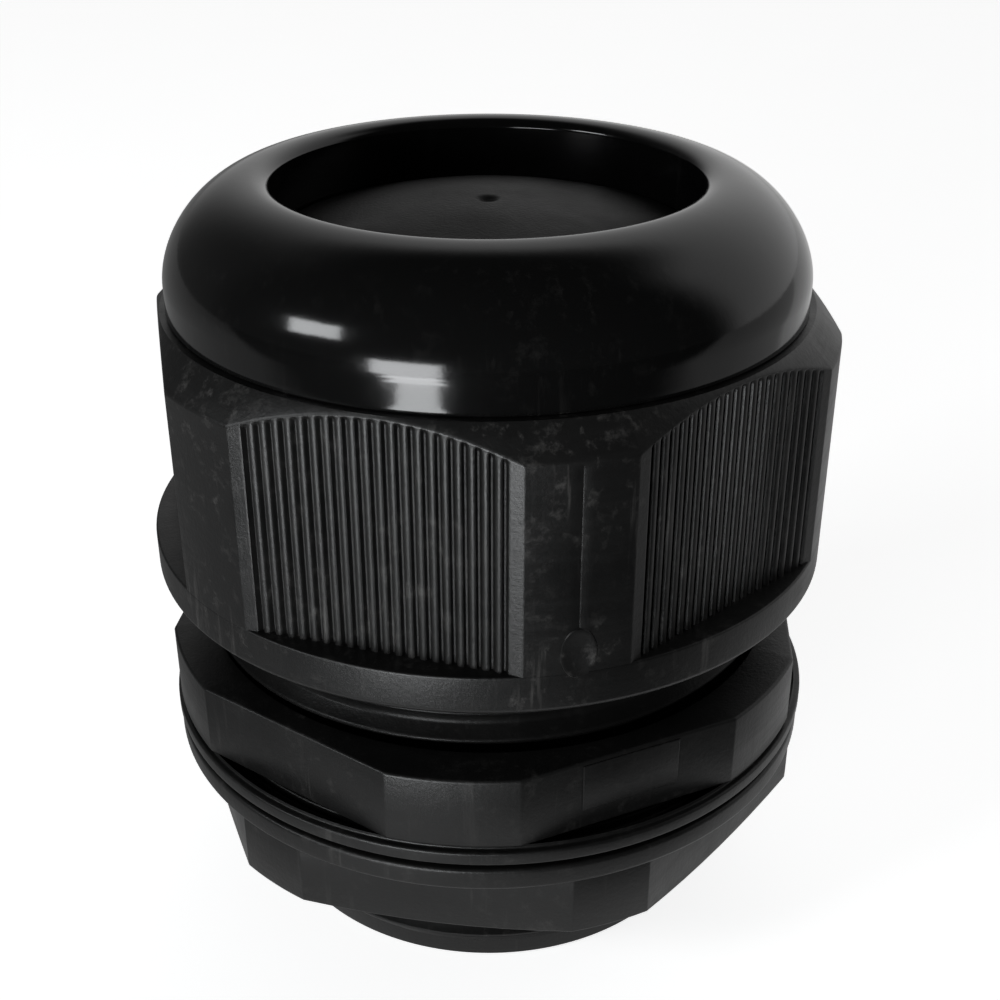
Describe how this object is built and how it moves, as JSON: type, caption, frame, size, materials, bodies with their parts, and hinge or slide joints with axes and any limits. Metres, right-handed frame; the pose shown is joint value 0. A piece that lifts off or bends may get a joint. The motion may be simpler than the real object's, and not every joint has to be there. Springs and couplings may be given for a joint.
{
  "type": "cable gland",
  "caption": "Plastic dome-nut cable gland with a clamping claw, rubber seal, dust disc, flat gasket and lock nut, for passing a cable through a panel",
  "frame": {"origin": "centre of the entry thread's end face, which is the lowest face of the gland", "axes": "+Z runs along the cable from the entry thread to the dome nut; -Y points at the middle of one corner of the body hexagon, so +X and -X are the normals of two of its flats"},
  "size_m": [0.068, 0.068, 0.075],
  "materials": {
    "body_nylon": "black polyamide moulding, satin with light scuffs",
    "dome_nylon": "black polyamide, glossy on the dome and satin on the hexagon",
    "gasket_rubber": "matte black rubber sheet",
    "seal_rubber": "matte black moulded rubber"
  },
  "bodies": {
    "gland_body": {"gland_body": "body_nylon", "clamping_claw": "body_nylon", "seal_insert": "seal_rubber"},
    "dust_disc": {"dust_disc": "seal_rubber"},
    "dome_nut": {"dome_nut": "dome_nylon"},
    "flange_gasket": {"flange_gasket": "gasket_rubber"},
    "lock_nut": {"lock_nut": "body_nylon"}
  },
  "joints": [
    {"name": "dome_nut_travel", "type": "slide", "parent": "gland_body", "child": "dust_disc", "axis": [0, 0, 1], "range_m": [-0.00701, 0.01401], "deforming": ["clamping_claw", "seal_insert"]},
    {"name": "dome_nut_turn", "type": "hinge", "parent": "dust_disc", "child": "dome_nut", "pos_m": [0, 0, 0.0558], "axis": [0, 0, 1], "range_deg": [-840, 1680]},
    {"name": "gasket_travel", "type": "slide", "parent": "gland_body", "child": "flange_gasket", "axis": [0, 0, 1], "range_m": [-0.01961, 0.00001]},
    {"name": "lock_nut_turn", "type": "hinge", "parent": "flange_gasket", "child": "lock_nut", "pos_m": [0, 0, 0.0147], "axis": [0, 0, 1], "range_deg": [-4704, 0]}
  ],
  "couplings": [
    {"joint": "dome_nut_travel", "follows": "dome_nut_turn", "m_per_rad": 0.00047746},
    {"joint": "gasket_travel", "follows": "lock_nut_turn", "m_per_rad": 0.00023873}
  ]
}
